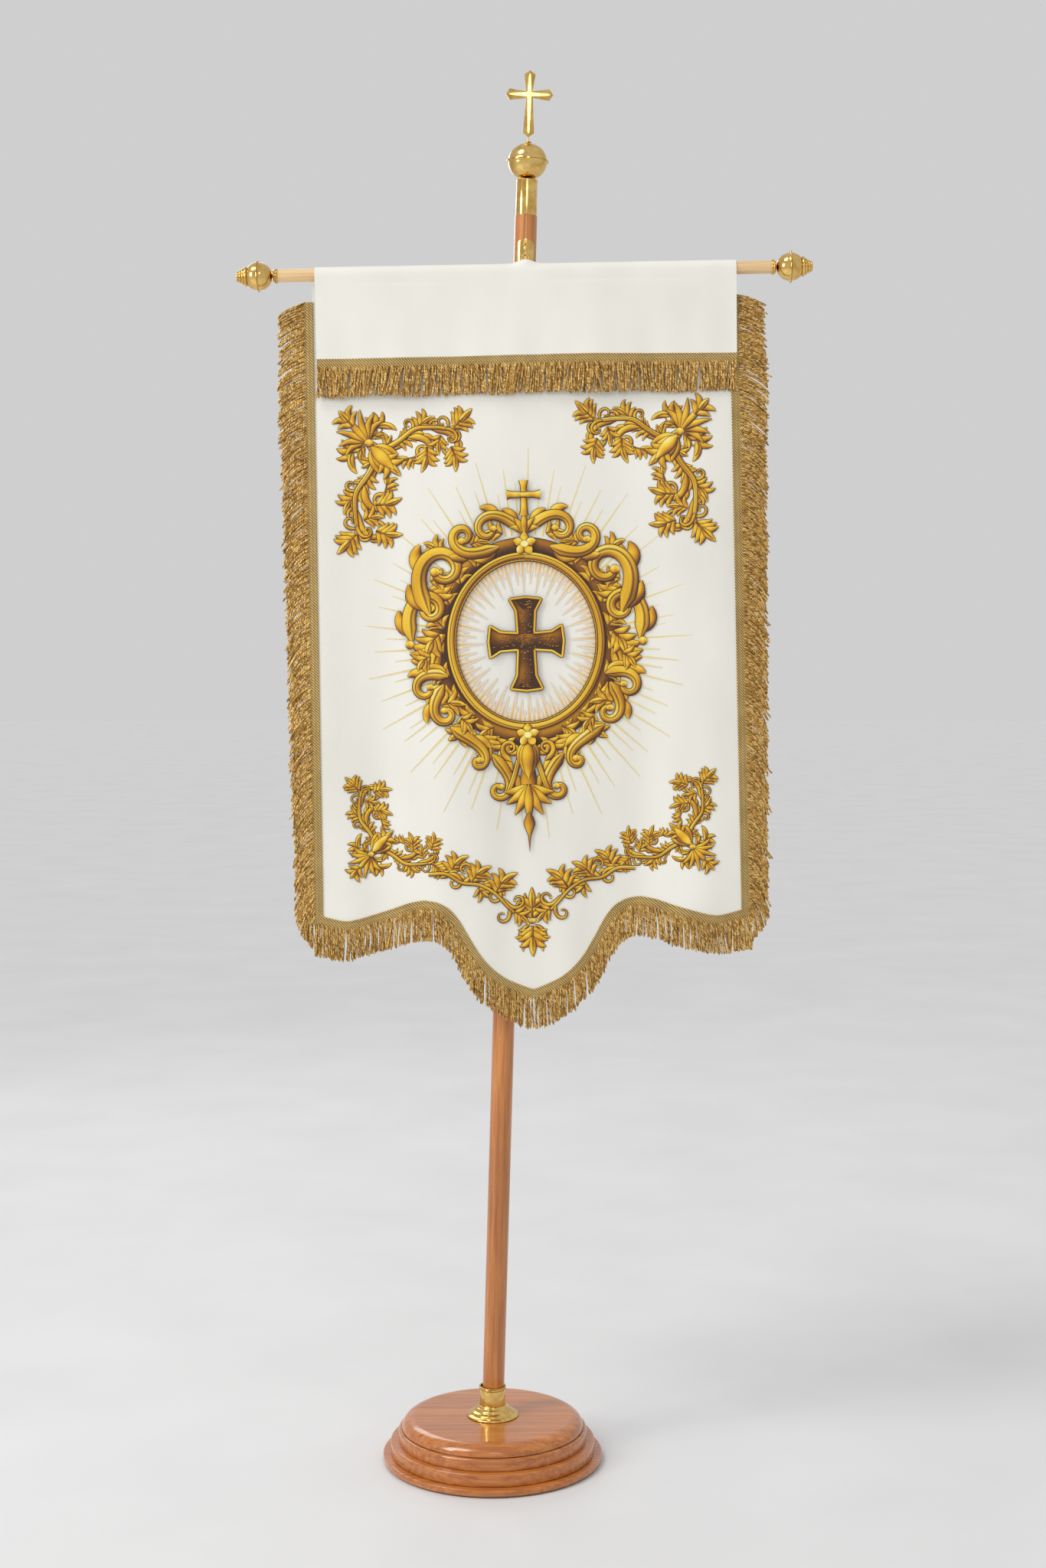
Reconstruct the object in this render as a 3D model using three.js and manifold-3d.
// Processional banner on a floor stand: a stepped round wooden base, a brass socket, a round wooden
// pole with a ball-and-cross finial, and a crossbar that hangs from a snap hook and carries a fringed
// satin banner.
// Millimetres, +Z up, front of the object towards -Y, origin at the centre of the base's underside.
import * as THREE from "three";
import { mergeVertices } from "three/addons/utils/BufferGeometryUtils.js";
import Module from "manifold-3d";

const wasm = await Module();
wasm.setup();

// ------------------------------------------------------------------------------ driving dimensions
const GAP = 0.3; // air left between two pieces that touch
const FINE = 32; // segments round a large turned piece
const ROUND = 16; // segments round a small turned piece
const TINY = 8; // segments round wire and screws

// base
const FELT = { r: 168, top: 2.5 };
const BOTTOM_DISC = { r: 176, top: 12.7 };
const MIDDLE_DISC = { r: 164, top: 32.7 };
const TOP_DISC = { r: 151.5, domeR: 145.5, lipTop: 52, top: 70 };
const WEIGHT = { r: 95, ceiling: 10.2 }; // iron plate, with a pocket up to the ceiling for the bolt
const BOLT = { r: 4.3, headR: 8, headFoot: 3.2, headH: 4.8, top: 40 };
const WASHER = { r: 9.8, bottom: 8.4, top: 9.8 };
const DISC_SCREW = { ringR: 128, r: 2, headR: 4.6, top: 30 }; // four, countersunk from below

// socket
const TUBE = { r: 20.2, bore: 19.2, top: 113 };
const RIM = { r: 21.8, bore: 19.3, top: 118.4 };
const FLANGE = { r: 42, bore: 20.5, top: 88.5 };
const PLUG_TOP = 44.5;
const SET_SCREW = { r: 1.35, headR: 3, turn: THREE.MathUtils.degToRad(-21) }; // left of straight ahead

// pole, which leans to the right in its loose socket
const LEAN = THREE.MathUtils.degToRad(1.615);
const LEAN_PIVOT = 67; // height at which the pole's axis crosses the base's axis
const POLE_R = 17.5;
const POLE_FOOT = 49;
const PAD = { r: 18, bottom: 45.4, top: 48.6 };
const POLE_SHOULDER = 1979.5;
const TENON = { r: 15.4, top: 2018 };

// ball and cross
const SLEEVE = { r: 16.5, bore: 15.8, top: 2035.2, roof: 1.2 };
const SLEEVE_SCREW = { r: 1.1, headR: 2.3, hole: 1.5, z: 1998 }; // at the back
const BALL = { r: 30.5, h: 28, wall: 1.2, rimR: 33, rim: 1.1 };
const BALL_Z = 2063.6;
const ROD = { r: 2.8, bottom: 1992, top: 2091.6 };
const COLLAR = { r: 5.2, bottom: 2092, top: 2095.4 };
const STEM = { r: 1.1, bottom: 2093.2, top: 2104.5 };
const CROSS = { z: 2166.5, up: 37, down: 65.5, side: 37, end: 8.8, waist: 5, point: 6, thick: 5 };

// hook plate on the front of the pole
const PLATE = { inner: 17.8, outer: 19.3, half: 15.5, bottom: 1880, top: 1942, arch: 13 };
const PLATE_SCREW = { r: 1.2, headR: 3.1, hole: 1.6, z: 1889 };
const EYE_SHANK = { r: 1.5, shoulderR: 3, hole: 1.9 };

// the hanging chain: heights are of the wires' centres
const HANG_Y = -40;
const PLATE_EYE = { ring: 3.2, wire: 1, z: 1928.5 };
const SWIVEL = { ring: 2.4, wire: 0.8, stem: 0.9, head: 1.55 };
const BARREL = { r: 2.5, bore: 1.25, chamber: 1.95, bottom: 1919.6, step: 1922, top: 1924.2 };
const HOOK = { wire: 0.9, z: 1910.5 };
const GATE = { y: -2.5, z: 1918.6, wire: 0.6, hubR: 0.95, hole: 0.6, earHole: 0.5, pinR: 0.35 };
const RING = { ring: 6, wire: 0.7 };
const BAR_EYE = { ring: 2.6, wire: 0.8 };
const HOOK_X = (PLATE_EYE.z - LEAN_PIVOT) * Math.tan(LEAN);
const RING_TOP = HOOK.z + HOOK.wire + RING.wire + GAP;
const RING_Z = RING_TOP - RING.ring;
const BAR_PIVOT = RING_Z - RING.ring;

// crossbar and its end finials; the bar's own frame has its pivot on the ring at the origin
const TILT = THREE.MathUtils.degToRad(-1.05); // right end up
const BAR = { r: 10, half: 386, drop: 13.9, shift: -1.5 };
const END = { neck: 382, ballX: 411.5, tipFoot: 428.6, tip: 446, bore: 2.9 };
const END_BALL = { r: 21.5, h: 22, wall: 1.2, rimR: 24.6, rim: 1.1 };
const END_STUD = { r: 2.4, hole: 2.8, inner: 361 };

// banner, in the bar's frame; heights are measured from the bar's centre line
const BANNER_X = -7.5;
const SLEEVE_CLOTH = { bore: 10.6, r: 12.2, half: 325, notch: 11 };
const CLOTH = 1.8;
const BODY = { top: -12.8, halfTop: 323, halfBottom: 330 };
const VALANCE = { top: 3, bottom: -141, half: 325.5, lean: 7.5, fringe: 45 };
const HEADER = { wide: 14, thick: 2.2 };
const FRINGE = { long: 50, thick: 4, side: 42 };
const SIDE_TOP = -41;
const EDGE = [ // right half of the bottom edge, from the corner to the point
  [330, -998], [308, -1004], [284, -1006.5], [230, -992], [172, -975], [128, -990], [99, -1036],
  [78, -1070], [46, -1100], [0, -1120],
];

// --------------------------------------------------------------------------------------- materials
const paint = (color, roughness, metalness) =>
  new THREE.MeshStandardMaterial({ color, roughness, metalness });
const BRASS = () => paint(0xcfa545, 0.16, 1);
const STEEL = () => paint(0x9a9a9a, 0.4, 1);
const IRON = () => paint(0x3a3a3a, 0.7, 0.8);
const WOOD = () => paint(0xa5693f, 0.25, 0);
const PALE_WOOD = () => paint(0xe8c690, 0.45, 0);
const SATIN = () => paint(0xf1ece2, 0.5, 0);
const GOLD_THREAD = () => paint(0xb08a4a, 0.6, 0);
const FELT_CLOTH = () => paint(0x2f4a34, 0.95, 0);

// -------------------------------------------------------------------------------- geometry helpers
function toSolid(geometry) {
  const bare = geometry.clone();
  bare.deleteAttribute("normal");
  bare.deleteAttribute("uv");
  const merged = mergeVertices(bare, 1e-4);
  const vertProperties = merged.attributes.position.array;
  const triVerts = new Uint32Array(merged.index.array);
  const solid = new wasm.Manifold(new wasm.Mesh({ numProp: 3, vertProperties, triVerts }));
  if (solid.volume() > 0) return solid;
  for (let i = 0; i < triVerts.length; i += 3) {
    [triVerts[i + 1], triVerts[i + 2]] = [triVerts[i + 2], triVerts[i + 1]];
  }
  return new wasm.Manifold(new wasm.Mesh({ numProp: 3, vertProperties, triVerts }));
}

function toGeometry(solid) {
  const { vertProperties, triVerts } = solid.getMesh();
  const geometry = new THREE.BufferGeometry();
  geometry.setAttribute("position", new THREE.BufferAttribute(vertProperties, 3));
  geometry.setIndex(new THREE.BufferAttribute(triVerts, 1));
  geometry.computeVertexNormals();
  return geometry;
}

// Turned piece about Z from [radius, z] points, which start and end on the axis or are closed here.
function turned(profile, segments = ROUND) {
  const points = profile.map(([r, z]) => new THREE.Vector2(r, z));
  if (profile[0][0] > 0) points.push(points[0].clone());
  return new THREE.LatheGeometry(points, segments).rotateX(Math.PI / 2);
}

const rod = (r, bottom, top, segments = ROUND) =>
  turned([[0, bottom], [r, bottom], [r, top], [0, top]], segments);

const tube = (bore, r, bottom, top, segments = ROUND) =>
  turned([[bore, bottom], [r, bottom], [r, top], [bore, top]], segments);

// A rod along Y from y0 to y1, centred on x and z.
const rodY = (r, y0, y1, x, z, segments = TINY) =>
  rod(r, -y1, -y0, segments).rotateX(Math.PI / 2).translate(x, 0, z);

// A rod along X.
const rodX = (r, x0, x1, y, z, segments = TINY) =>
  rod(r, x0, x1, segments).rotateY(Math.PI / 2).translate(0, y, z);

// Wire ring in the XZ plane, or in the YZ plane when turned.
function wireRing(ringR, wireR, y, z, facingSide = false) {
  const ring = new THREE.TorusGeometry(ringR, wireR, 6, ROUND).rotateX(Math.PI / 2);
  if (facingSide) ring.rotateZ(Math.PI / 2);
  return ring.translate(0, y, z);
}

// Outline in X and Z pushed back and forward along Y.
function plate(outline, y0, y1) {
  const shape = new THREE.Shape(outline.map(([x, z]) => new THREE.Vector2(x, z)));
  return new THREE.ExtrudeGeometry(shape, { depth: y1 - y0, bevelEnabled: false })
    .rotateX(Math.PI / 2)
    .translate(0, y1, 0);
}

// Section in Y and Z pushed along X.
function bar(section, x0, x1) {
  const shape = new THREE.Shape(section.map(([y, z]) => new THREE.Vector2(y, z)));
  return new THREE.ExtrudeGeometry(shape, { depth: x1 - x0, bevelEnabled: false })
    .rotateX(Math.PI / 2)
    .rotateZ(Math.PI / 2)
    .translate(x0, 0, 0);
}

const join = (first, ...rest) => rest.reduce((sum, g) => sum.add(toSolid(g)), toSolid(first));
const cut = (first, ...holes) =>
  toGeometry(holes.reduce((left, g) => left.subtract(toSolid(g)), first));
const joined = (...pieces) => toGeometry(join(...pieces));

function add(group, name, geometry, material) {
  const mesh = new THREE.Mesh(toGeometry(toSolid(geometry)), material());
  mesh.name = name;
  group.add(mesh);
}

function arc(cx, cz, rx, rz, from, to, steps) {
  const points = [];
  for (let i = 0; i <= steps; i++) {
    const a = THREE.MathUtils.degToRad(from + ((to - from) * i) / steps);
    points.push([cx + rx * Math.cos(a), cz + rz * Math.sin(a)]);
  }
  return points;
}

// --------------------------------------------------------------------------------- base and socket
const stand = new THREE.Group();

function addBase() {
  add(stand, "floor_felt", rod(FELT.r, 0, FELT.top, FINE), FELT_CLOTH);
  const discBottom = FELT.top + GAP;
  add(stand, "base_bottom_disc", turned([
    [WEIGHT.r + 2 * GAP, discBottom], [BOTTOM_DISC.r - 1, discBottom], [BOTTOM_DISC.r, discBottom + 1],
    [BOTTOM_DISC.r, BOTTOM_DISC.top - 1], [BOTTOM_DISC.r - 1, BOTTOM_DISC.top],
    [WEIGHT.r + 2 * GAP, BOTTOM_DISC.top],
  ], FINE), WOOD);
  add(stand, "base_weight", turned([
    [BOLT.headR + 2.5, discBottom], [WEIGHT.r, discBottom], [WEIGHT.r, BOTTOM_DISC.top - GAP],
    [BOLT.r + 1, BOTTOM_DISC.top - GAP], [BOLT.r + 1, WEIGHT.ceiling], [BOLT.headR + 2.5, WEIGHT.ceiling],
  ]), IRON);
  const middleBottom = BOTTOM_DISC.top + GAP;
  add(stand, "base_middle_disc", turned([
    [BOLT.r + 1, middleBottom], [MIDDLE_DISC.r, middleBottom], [MIDDLE_DISC.r, MIDDLE_DISC.top - 1],
    [MIDDLE_DISC.r - 1, MIDDLE_DISC.top], [BOLT.r + 1, MIDDLE_DISC.top],
  ], FINE), WOOD);
  const { r, domeR, lipTop, top } = TOP_DISC;
  const domeFoot = lipTop + 1.5;
  const rise = top - domeFoot;
  add(stand, "base_top_disc", turned([
    [TUBE.r + GAP, MIDDLE_DISC.top + GAP], [r, MIDDLE_DISC.top + GAP], [r, lipTop - 3], [r - 1, lipTop - 1],
    [r - 3, lipTop], [domeR, domeFoot],
    ...arc(domeR - rise * 1.25, domeFoot, rise * 1.25, rise, 15, 90, 6), [TUBE.r + GAP, top],
  ], FINE), WOOD);
  add(stand, "base_bolt", joined(
    rod(BOLT.headR, BOLT.headFoot, BOLT.headFoot + BOLT.headH, 6),
    rod(BOLT.r, BOLT.headFoot + BOLT.headH - 0.5, BOLT.top),
  ), STEEL);
  add(stand, "bolt_washer", tube(BOLT.r + GAP, WASHER.r, WASHER.bottom, WASHER.top), STEEL);
  addDiscScrews();
}

// Four countersunk screws draw the bottom disc up to the others; each sits in its own hole.
function addDiscScrews() {
  const holes = [];
  const { ringR, r, headR, top } = DISC_SCREW;
  for (let i = 0; i < 4; i++) {
    const a = ((i + 0.5) * Math.PI) / 2;
    const [x, y] = [ringR * Math.cos(a), ringR * Math.sin(a)];
    const bodyZ = FELT.top + 0.6;
    const screw = (grow) => turned([
      [0, bodyZ - grow * 3], [headR + grow, bodyZ - grow * 3], [headR + grow, bodyZ + 0.6],
      [r + grow, bodyZ + 4], [r + grow, top + grow], [0, top + grow],
    ], TINY).translate(x, y, 0);
    add(stand, "disc_screw_" + (i + 1), screw(0), STEEL);
    holes.push(screw(GAP));
  }
  for (const name of ["base_bottom_disc", "base_middle_disc"]) {
    const disc = stand.children.find((mesh) => mesh.name === name);
    disc.geometry = cut(toSolid(disc.geometry), ...holes);
  }
}

function addSocket() {
  const foot = MIDDLE_DISC.top + 2 * GAP;
  add(stand, "socket_flange", turned([
    [FLANGE.bore, TOP_DISC.top + GAP], [FLANGE.r - 0.6, TOP_DISC.top + GAP],
    [FLANGE.r, TOP_DISC.top + 1.2], [FLANGE.r - 1, TOP_DISC.top + 3],
    [36, 75.6], [34.4, 76.2], [34, 78.2], [30, 80.2], [28.6, 80.6], [28, 83], [24.4, 85], [23.4, 85.8],
    [22.8, FLANGE.top - 0.8], [22, FLANGE.top], [FLANGE.bore, FLANGE.top],
  ], FINE), BRASS);
  add(stand, "socket_tube", tube(TUBE.bore, TUBE.r, foot, TUBE.top, FINE), BRASS);
  add(stand, "socket_plug", turned([
    [0, BOLT.top + 1], [BOLT.r + GAP, BOLT.top + 1], [BOLT.r + GAP, foot], [TUBE.bore - GAP, foot],
    [TUBE.bore - GAP, PLUG_TOP], [0, PLUG_TOP],
  ]), BRASS);
  const rimFoot = TUBE.top + GAP;
  const bead = turned([
    [RIM.bore, rimFoot], [RIM.r - 1, rimFoot], [RIM.r, rimFoot + 1.2], [RIM.r - 0.4, rimFoot + 2.4],
    [RIM.r - 1, rimFoot + 3], [RIM.r - 0.2, rimFoot + 3.6], [RIM.r + 0.2, rimFoot + 4.4],
    [RIM.r - 0.4, RIM.top], [RIM.bore, RIM.top],
  ], FINE);
  const screwZ = rimFoot + 2.4;
  const hole = rodY(SET_SCREW.r + GAP, -RIM.r - 3, -RIM.bore + 1, 0, screwZ).rotateZ(SET_SCREW.turn);
  add(stand, "socket_rim", cut(toSolid(bead), hole), BRASS);
  add(stand, "socket_set_screw", joined(
    rodY(SET_SCREW.r, -RIM.r - 1.2, -RIM.bore - 0.6, 0, screwZ),
    rodY(SET_SCREW.headR, -RIM.r - 2.8, -RIM.r - 0.7, 0, screwZ, 10),
  ).rotateZ(SET_SCREW.turn), BRASS);
}

// --------------------------------------------------------------------------------- pole and finial
const leaning = new THREE.Group();
leaning.position.z = LEAN_PIVOT;
leaning.rotation.y = LEAN;
const pole = new THREE.Group(); // heights along the pole are written as if it stood upright
pole.position.z = -LEAN_PIVOT;
leaning.add(pole);
stand.add(leaning);

function addPole() {
  add(pole, "socket_pad", rod(PAD.r, PAD.bottom, PAD.top), FELT_CLOTH);
  const wood = toSolid(turned([
    [0, POLE_FOOT], [POLE_R - 1.5, POLE_FOOT], [POLE_R, POLE_FOOT + 1.5], [POLE_R, POLE_SHOULDER],
    [TENON.r, POLE_SHOULDER], [TENON.r, TENON.top], [ROD.r + GAP, TENON.top],
    [ROD.r + GAP, ROD.bottom - 1], [0, ROD.bottom - 1],
  ], 24));
  add(pole, "pole", cut(
    wood,
    rodY(EYE_SHANK.hole, -30, -4, 0, eyeCentre()),
    rodY(PLATE_SCREW.hole, -30, -4, 0, PLATE_SCREW.z),
    rodY(SLEEVE_SCREW.hole, 6, 30, 0, SLEEVE_SCREW.z),
  ), WOOD);
}

function addFinial() {
  const cap = toSolid(turned([
    [SLEEVE.bore, POLE_SHOULDER + GAP], [SLEEVE.r, POLE_SHOULDER + GAP], [SLEEVE.r, SLEEVE.top - 0.6],
    [SLEEVE.r - 0.6, SLEEVE.top], [ROD.r + GAP, SLEEVE.top], [ROD.r + GAP, SLEEVE.top - SLEEVE.roof],
    [SLEEVE.bore, SLEEVE.top - SLEEVE.roof],
  ], 20));
  add(pole, "finial_sleeve", cut(cap, rodY(SLEEVE_SCREW.hole, 6, 30, 0, SLEEVE_SCREW.z)), BRASS);
  add(pole, "sleeve_screw", joined(
    rodY(SLEEVE_SCREW.r, 8, SLEEVE.r + 0.9, 0, SLEEVE_SCREW.z),
    rodY(SLEEVE_SCREW.headR, SLEEVE.r + 0.4, SLEEVE.r + 1.9, 0, SLEEVE_SCREW.z),
  ), BRASS);
  add(pole, "finial_rod", rod(ROD.r, ROD.bottom, ROD.top), STEEL);
  add(pole, "ball_lower", halfBall(BALL, ROD.r + GAP, -1).translate(0, 0, BALL_Z), BRASS);
  add(pole, "ball_upper", halfBall(BALL, ROD.r + GAP, 1).translate(0, 0, BALL_Z), BRASS);
  const stemBore = STEM.r + GAP;
  add(pole, "ball_collar", turned([
    [0, COLLAR.bottom + 0.7], [stemBore, COLLAR.bottom + 0.7], [stemBore, COLLAR.top], [2.4, COLLAR.top],
    [3.4, COLLAR.top - 0.8], [COLLAR.r, COLLAR.bottom + 1.5], [COLLAR.r, COLLAR.bottom + GAP],
    [COLLAR.r - 0.5, COLLAR.bottom], [0, COLLAR.bottom],
  ]), BRASS);
  add(pole, "cross_stem", rod(STEM.r, STEM.bottom, STEM.top, TINY), BRASS);
  add(pole, "cross", crossSolid(), BRASS);
}

// Half of a two-part ball: a thin shell with a flat rim round its equator and a hole at its pole.
function halfBall({ r, h, wall, rimR, rim }, hole, side) {
  const start = THREE.MathUtils.radToDeg(Math.acos(hole / r));
  const outer = arc(0, 0, r, h, 4, start, 5);
  const insideStart = THREE.MathUtils.radToDeg(Math.acos(hole / (r - wall)));
  const inner = arc(0, 0, r - wall, h - wall, insideStart, 3, 3);
  const profile = [[rimR, GAP / 2], [rimR, rim], [r + 0.2, rim], ...outer, ...inner, [r - wall, GAP / 2]];
  return turned(profile.map(([x, z]) => [x, side * z]), 20);
}

function crossSolid() {
  const { up, down, side, end, waist, point, thick } = CROSS;
  const bevel = 1.5;
  const inner = waist + 0.6;
  const arm = (long) => [
    [inner, waist], [long - point, end], [long, 0], [long - point, -end], [inner, -waist],
  ];
  const turn = (points, quarter) => points.map(([x, z]) => {
    const [c, s] = [[1, 0], [0, -1], [-1, 0], [0, 1]][quarter];
    return [x * c - z * s, x * s + z * c];
  });
  const outline = [side, down, side, up].flatMap((long, quarter) => turn(arm(long), quarter));
  const shape = new THREE.Shape(outline.map(([x, z]) => new THREE.Vector2(x, z)));
  const body = new THREE.ExtrudeGeometry(shape, {
    depth: thick - 2 * bevel,
    bevelEnabled: true,
    bevelThickness: bevel,
    bevelSize: bevel,
    bevelOffset: -bevel,
    bevelSegments: 1,
  }).rotateX(Math.PI / 2).translate(0, thick / 2 - bevel, CROSS.z);
  return cut(toSolid(body), rod(STEM.r + GAP, CROSS.z - down - 5, STEM.top + 0.5, TINY));
}

// -------------------------------------------------------------------------------------- hook plate
// The plate's eye hangs with its lowest wire at a known height, so its centre follows from the lean.
function eyeCentre() {
  return LEAN_PIVOT + (PLATE_EYE.z - LEAN_PIVOT) / Math.cos(LEAN) + PLATE_EYE.ring;
}

function addHookPlate() {
  const shell = toSolid(tube(PLATE.inner, PLATE.outer, PLATE.bottom, PLATE.top, FINE));
  const outline = [
    ...arc(0, PLATE.top - PLATE.arch, PLATE.half, PLATE.arch, 0, 180, 7),
    ...arc(0, PLATE.bottom + PLATE.arch, PLATE.half, PLATE.arch, 180, 360, 7),
  ];
  const face = shell.intersect(toSolid(plate(outline, -30, 0)));
  const eyeZ = eyeCentre();
  add(pole, "hook_plate", cut(
    face,
    rodY(EYE_SHANK.hole, -30, -4, 0, eyeZ),
    rodY(PLATE_SCREW.hole, -30, -4, 0, PLATE_SCREW.z),
  ), BRASS);
  const headBack = -PLATE.outer - GAP;
  add(pole, "plate_screw", joined(
    rodY(PLATE_SCREW.r, headBack - 0.8, -6, 0, PLATE_SCREW.z),
    rodY(PLATE_SCREW.headR, headBack - 1.9, headBack, 0, PLATE_SCREW.z),
  ), BRASS);
  add(pole, "plate_eye", joined(
    wireRing(PLATE_EYE.ring, PLATE_EYE.wire, HANG_Y, eyeZ, true),
    rodY(EYE_SHANK.r, HANG_Y + PLATE_EYE.ring - 0.2, -6, 0, eyeZ),
    rodY(EYE_SHANK.shoulderR, headBack - 1.8, headBack, 0, eyeZ),
  ), BRASS);
}

// ------------------------------------------------------------------------------ snap hook and ring
const chain = new THREE.Group();
chain.position.set(HOOK_X, HANG_Y, 0);
stand.add(chain);

function addSnapHook() {
  const loopTop = PLATE_EYE.z + PLATE_EYE.wire + SWIVEL.wire + GAP;
  const loopZ = loopTop - SWIVEL.ring;
  add(chain, "snap_swivel", joined(
    wireRing(SWIVEL.ring, SWIVEL.wire, 0, loopZ),
    rod(SWIVEL.stem, BARREL.bottom + 1.2, loopZ - SWIVEL.ring, TINY),
    rod(SWIVEL.head, BARREL.bottom + 0.7, BARREL.bottom + 1.9, TINY),
  ), BRASS);
  const path = new THREE.CatmullRomCurve3([
    [1.9, BARREL.bottom + 0.8], [3.3, HOOK.z + 7.3], [3.9, HOOK.z + 4.3], [3, HOOK.z + 1.3],
    [0.2, HOOK.z], [-2.6, HOOK.z + 1], [-3.7, HOOK.z + 3.4],
  ].map(([y, z]) => new THREE.Vector3(0, y, z)));
  const section = new THREE.Shape().absarc(0, 0, HOOK.wire, 0, Math.PI * 2);
  const wire = new THREE.ExtrudeGeometry(section, { steps: 11, curveSegments: 3, extrudePath: path });
  const barrel = turned([
    [BARREL.bore, BARREL.top], [BARREL.bore, BARREL.step], [BARREL.chamber, BARREL.step],
    [BARREL.chamber, BARREL.bottom], [BARREL.r, BARREL.bottom], [BARREL.r, BARREL.top - 0.5],
    [BARREL.r - 0.5, BARREL.top],
  ], 12);
  const ears = [-1, 1].map((side) => new THREE.BoxGeometry(0.6, 1.8, 2.6)
    .translate(side * 1.25, GATE.y + 0.1, GATE.z + 0.4));
  const { y, z } = GATE;
  add(chain, "snap_hook", cut(join(barrel, wire, ...ears), rodX(GATE.earHole, -3, 3, y, z)), BRASS);
  add(chain, "gate_pin", rodX(GATE.pinR, -1.7, 1.7, y, z), STEEL);
  const gateTop = new THREE.Vector3(0, y, z - 0.4);
  const gateTip = new THREE.Vector3(0, y - 0.95, z - 3.1);
  const gateBar = new THREE.ExtrudeGeometry(
    new THREE.Shape().absarc(0, 0, GATE.wire, 0, Math.PI * 2),
    { steps: 1, curveSegments: 3, extrudePath: new THREE.LineCurve3(gateTop, gateTip) },
  );
  const hub = rodX(GATE.hubR, -0.7, 0.7, y, z);
  add(chain, "snap_gate", cut(join(hub, gateBar), rodX(GATE.hole, -2, 2, y, z)), BRASS);
  add(chain, "hanger_ring", wireRing(RING.ring, RING.wire, 0, RING_Z), BRASS);
}

// ---------------------------------------------------------------------------------------- crossbar
const hanging = new THREE.Group();
hanging.position.set(HOOK_X, HANG_Y, BAR_PIVOT);
hanging.rotation.y = TILT;
const barGroup = new THREE.Group(); // heights from the bar's centre line
barGroup.position.z = -BAR.drop;
hanging.add(barGroup);
stand.add(hanging);

// A turned piece whose axis lies along the bar, on the left (-1) or right (+1) end.
const onEnd = (geometry, side) => geometry.rotateY((side * Math.PI) / 2).translate(BAR.shift, 0, 0);

function addCrossbar() {
  const eyeZ = BAR.drop + RING.wire + BAR_EYE.wire + GAP - BAR_EYE.ring;
  const dowel = toSolid(rod(BAR.r, -BAR.half, BAR.half).rotateY(Math.PI / 2).translate(BAR.shift, 0, 0));
  add(barGroup, "crossbar", cut(
    dowel,
    rod(1.6, -6, 12, TINY),
    onEnd(rod(END_STUD.hole, END_STUD.inner - 3, BAR.half + 4, TINY), 1),
    onEnd(rod(END_STUD.hole, END_STUD.inner - 3, BAR.half + 4, TINY), -1),
  ), PALE_WOOD);
  add(barGroup, "bar_eye", joined(
    wireRing(BAR_EYE.ring, BAR_EYE.wire, 0, eyeZ, true), rod(1.2, -5, eyeZ - BAR_EYE.ring + 0.2, TINY),
  ), BRASS);
  for (const [side, word] of [[-1, "left"], [1, "right"]]) addEndFinial(side, word);
}

function addEndFinial(side, word) {
  const { neck, ballX, tipFoot: foot, tip, bore: hole } = END;
  add(barGroup, "end_collar_" + word, onEnd(turned([
    [BAR.r + GAP, neck], [11.4, neck], [12, neck + 1], [11.4, neck + 2], [10.9, neck + 2.4],
    [11.6, neck + 3.2], [11.6, neck + 4], [10.4, neck + 5.2], [9, neck + 6.4], [hole, neck + 6.4], [hole, BAR.half + GAP],
    [BAR.r + GAP, BAR.half + GAP],
  ]), side), BRASS);
  const half = (dir) => halfBall(END_BALL, hole, dir).translate(0, 0, ballX);
  add(barGroup, "end_ball_inner_" + word, onEnd(half(-1), side), BRASS);
  add(barGroup, "end_ball_outer_" + word, onEnd(cutTip(half(1)), side), BRASS);
  add(barGroup, "end_tip_" + word, onEnd(turned([
    [hole, foot], [14.4, foot], [15.4, foot + 0.8], [15.6, foot + 2.6], [13.4, foot + 4],
    [12.2, foot + 4.4], [12.6, foot + 5.4], [12.4, foot + 7.4], [10.6, foot + 8.6], [9.6, foot + 9],
    [10, foot + 10], [9.8, foot + 12], [8, foot + 13], [8, foot + 13.6], [8.6, foot + 14.4], [8.4, foot + 16], [6.8, tip], [0, tip],
    [0, foot + 6], [hole, foot + 6],
  ]), side), BRASS);
  add(barGroup, "end_stud_" + word, onEnd(rod(END_STUD.r, END_STUD.inner, foot + 5, TINY), side), STEEL);
}

// The outer half ball stops where its stepped tip begins.
function cutTip(geometry) {
  return cut(toSolid(geometry), rod(END_BALL.r, END.tipFoot - GAP, END.tip, 12));
}

// ------------------------------------------------------------------------------------------ banner
// Bottom edge from the left corner to the right corner, dropped by an offset.
function bottomEdge(drop) {
  const curve = new THREE.SplineCurve(EDGE.map(([x, z]) => new THREE.Vector2(x, z)));
  const right = curve.getPoints(20).map((p) => [p.x, p.y - drop]);
  const left = right.slice(0, -1).map(([x, z]) => [-x, z]);
  return [...left, ...right.reverse()].map(([x, z]) => [x + BANNER_X, z]);
}

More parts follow.
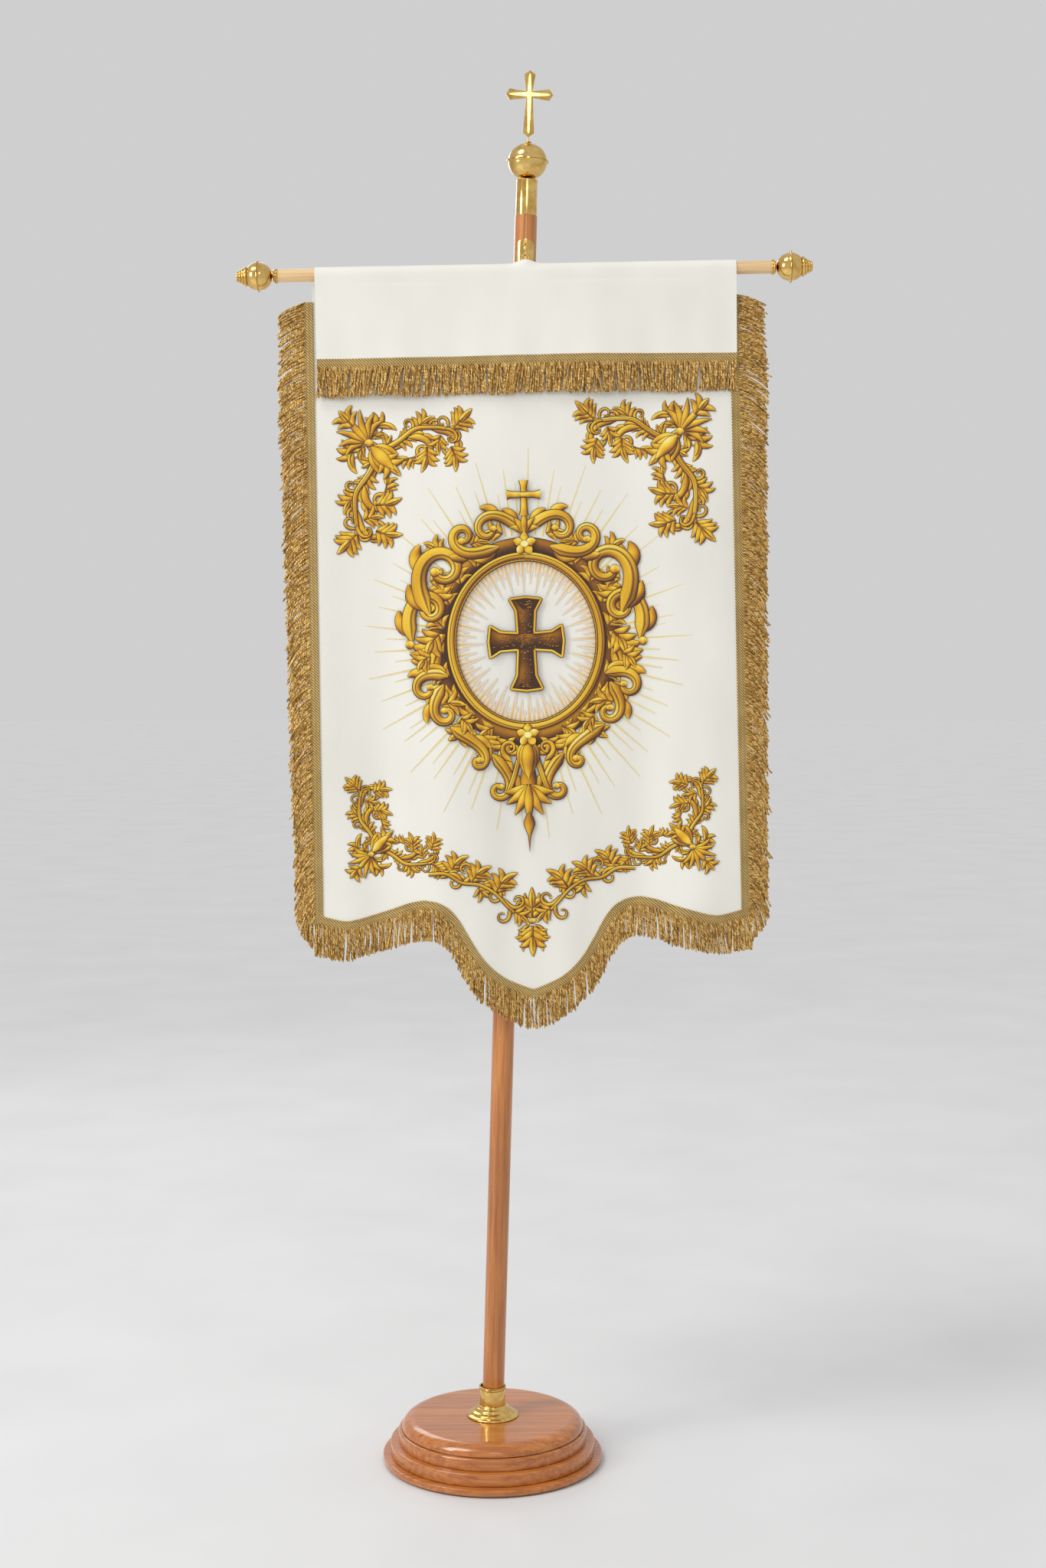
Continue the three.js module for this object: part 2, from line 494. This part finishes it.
function addBanner() {
  const { halfTop, halfBottom, top } = BODY;
  const y = CLOTH / 2;
  const cloth = [...bottomEdge(0), [BANNER_X + halfTop, top], [BANNER_X - halfTop, top]];
  add(barGroup, "banner_body", plate(cloth, -y, y), SATIN);
  const loop = toSolid(tube(SLEEVE_CLOTH.bore, SLEEVE_CLOTH.r, -SLEEVE_CLOTH.half, SLEEVE_CLOTH.half)
    .rotateY(Math.PI / 2).translate(BANNER_X, 0, 0));
  const notch = new THREE.BoxGeometry(2 * SLEEVE_CLOTH.notch, 40, 20).translate(0, 0, 14);
  add(barGroup, "banner_sleeve", cut(loop, notch), SATIN);
  const front = -SLEEVE_CLOTH.r - GAP;
  const { lean, half } = VALANCE;
  const flap = (z0, z1, off, thick) => {
    const at = (z) => front + off + (lean * (VALANCE.top - z)) / (VALANCE.top - VALANCE.bottom);
    return bar([[at(z0), z0], [at(z1), z1], [at(z1) - thick, z1], [at(z0) - thick, z0]],
      BANNER_X - half, BANNER_X + half);
  };
  const headerTop = VALANCE.bottom + 12;
  const headerFoot = headerTop - HEADER.wide;
  add(barGroup, "banner_valance", flap(VALANCE.top, VALANCE.bottom, 0, CLOTH), SATIN);
  add(barGroup, "valance_header", flap(headerTop, headerFoot, -CLOTH - GAP, HEADER.thick), GOLD_THREAD);
  add(barGroup, "valance_fringe",
    flap(headerFoot - GAP, headerFoot - GAP - VALANCE.fringe, -CLOTH, FRINGE.thick - 1), GOLD_THREAD);
  addSideTrim(-1, "left");
  addSideTrim(1, "right");
  const dropped = bottomEdge(GAP);
  const foot = bottomEdge(HEADER.wide);
  add(barGroup, "bottom_header", plate([...dropped, ...foot.reverse()], -HEADER.thick, 0.8), GOLD_THREAD);
  const fringeTop = bottomEdge(HEADER.wide + GAP);
  const fringeFoot = bottomEdge(HEADER.wide + FRINGE.long);
  const fringe = plate([...fringeTop, ...fringeFoot.reverse()], -FRINGE.thick / 2 - 1, 1);
  add(barGroup, "bottom_fringe", fringe, GOLD_THREAD);
}

function addSideTrim(side, word) {
  const foot = EDGE[0][1];
  const halfAt = (z) =>
    BODY.halfTop + ((BODY.halfBottom - BODY.halfTop) * (BODY.top - z)) / (BODY.top - foot);
  const at = (z, out) => [BANNER_X + side * (halfAt(z) + out), z];
  const tape = [at(SIDE_TOP, GAP), at(foot, GAP), at(foot, HEADER.wide), at(SIDE_TOP, HEADER.wide)];
  add(barGroup, "side_header_" + word, plate(tape, -HEADER.thick, 0.8), GOLD_THREAD);
  const inner = HEADER.wide + GAP;
  const outer = HEADER.wide + FRINGE.side;
  const hang = [
    at(SIDE_TOP, inner), at(foot, inner), at(foot - 12, inner + 4), at(foot - 40, outer - 4),
    at(foot - 30, outer), at(SIDE_TOP - 22, outer), at(SIDE_TOP - 8, outer - 8),
  ];
  add(barGroup, "side_fringe_" + word, plate(hang, -FRINGE.thick / 2 - 1, 1), GOLD_THREAD);
}

addBase();
addSocket();
addPole();
addFinial();
addHookPlate();
addSnapHook();
addCrossbar();
addBanner();

export default stand;
